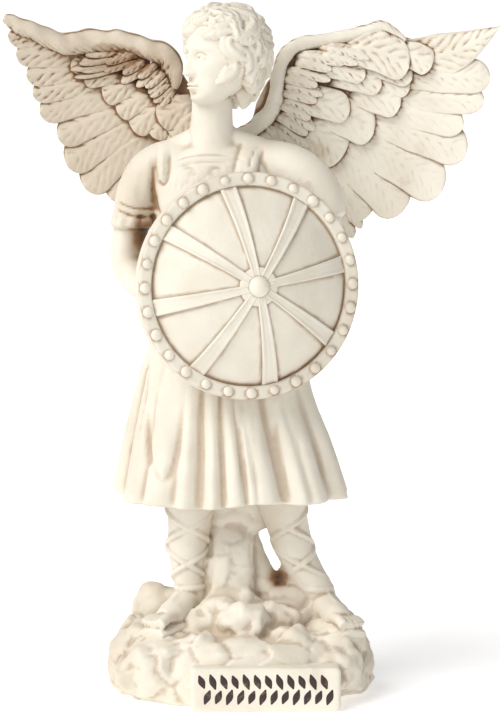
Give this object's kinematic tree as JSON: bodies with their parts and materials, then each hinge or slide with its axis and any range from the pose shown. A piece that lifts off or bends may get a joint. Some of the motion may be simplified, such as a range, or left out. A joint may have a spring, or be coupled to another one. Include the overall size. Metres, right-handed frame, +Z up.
{
  "type": "archangel statue",
  "caption": "Small cast winged guardian figurine in a tunic, holding a round riveted shield, standing on a rocky base with a bare front plate.",
  "frame": {"origin": "on the flat underside of the base, below the middle of the figure", "axes": "+Z up, the figure and its plate face -Y, +X to the viewer's right"},
  "size_m": [0.0904, 0.0374, 0.1276],
  "materials": {
    "cast_resin": "matt ivory casting resin with a thin brown wash in its recesses"
  },
  "bodies": {
    "root": {"guardian_figurine": "cast_resin"}
  },
  "joints": []
}
